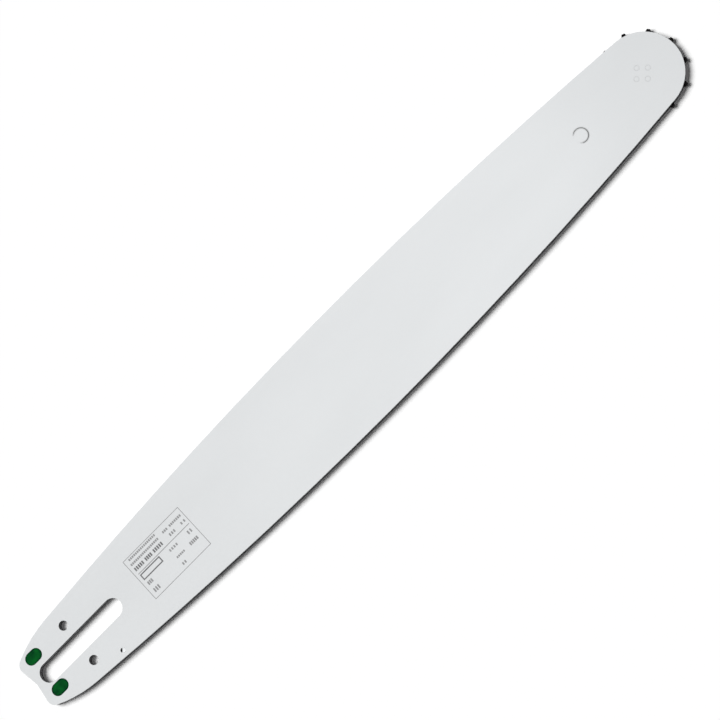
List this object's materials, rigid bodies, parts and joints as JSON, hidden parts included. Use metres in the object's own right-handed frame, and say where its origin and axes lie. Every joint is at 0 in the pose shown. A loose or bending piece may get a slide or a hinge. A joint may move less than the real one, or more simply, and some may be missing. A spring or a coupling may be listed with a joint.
{
  "type": "chainsaw guide bar",
  "caption": "Long flat laminated guide bar with bowed rails and a chain groove, a slotted clamping end and a sprocket that turns on rollers in its round nose.",
  "frame": {"origin": "middle of the stud slot, on the rear face that is clamped against the saw", "axes": "+X along the bar from the clamping end to the nose, +Y across the bar, +Z through its thickness from the rear face to the front face"},
  "size_m": [0.5309, 0.0696, 0.0047],
  "materials": {
    "plate_paint": "satin light grey lacquer over steel",
    "core_steel": "blanked steel, lightly oiled",
    "sprocket_steel": "hardened steel, blackened",
    "bearing_steel": "ground bearing steel, greased",
    "tail_mark": "dark green printed paint",
    "face_print": "thin grey printed rule"
  },
  "bodies": {
    "bar": {"front_side_plate": "plate_paint", "rear_side_plate": "plate_paint", "core_plate": "core_steel", "locating_plug": "plate_paint", "bearing_hub": "bearing_steel", "hub_rivets": "plate_paint"},
    "sprocket": {"nose_sprocket": "sprocket_steel"},
    "roller_set": {"bearing_roller_01": "bearing_steel", "bearing_roller_02": "bearing_steel", "bearing_roller_03": "bearing_steel", "bearing_roller_04": "bearing_steel", "bearing_roller_05": "bearing_steel", "bearing_roller_06": "bearing_steel", "bearing_roller_07": "bearing_steel", "bearing_roller_08": "bearing_steel", "bearing_roller_09": "bearing_steel", "bearing_roller_10": "bearing_steel", "bearing_roller_11": "bearing_steel", "bearing_roller_12": "bearing_steel", "bearing_roller_13": "bearing_steel", "bearing_roller_14": "bearing_steel", "bearing_roller_15": "bearing_steel", "bearing_roller_16": "bearing_steel", "bearing_roller_17": "bearing_steel", "bearing_roller_18": "bearing_steel", "bearing_roller_19": "bearing_steel", "bearing_roller_20": "bearing_steel", "bearing_roller_21": "bearing_steel", "bearing_roller_22": "bearing_steel", "bearing_roller_23": "bearing_steel", "bearing_roller_24": "bearing_steel", "bearing_roller_25": "bearing_steel", "bearing_roller_26": "bearing_steel"}
  },
  "joints": [
    {"name": "sprocket_spin", "type": "hinge", "parent": "bar", "child": "sprocket", "pos_m": [0.4652, 0, 0.00235], "axis": [0, 0, 1], "continuous": true},
    {"name": "roller_orbit", "type": "hinge", "parent": "bar", "child": "roller_set", "pos_m": [0.4652, 0, 0.00235], "axis": [0, 0, 1], "continuous": true}
  ],
  "couplings": [
    {"joint": "roller_orbit", "follows": "sprocket_spin", "ratio": 0.55925}
  ]
}
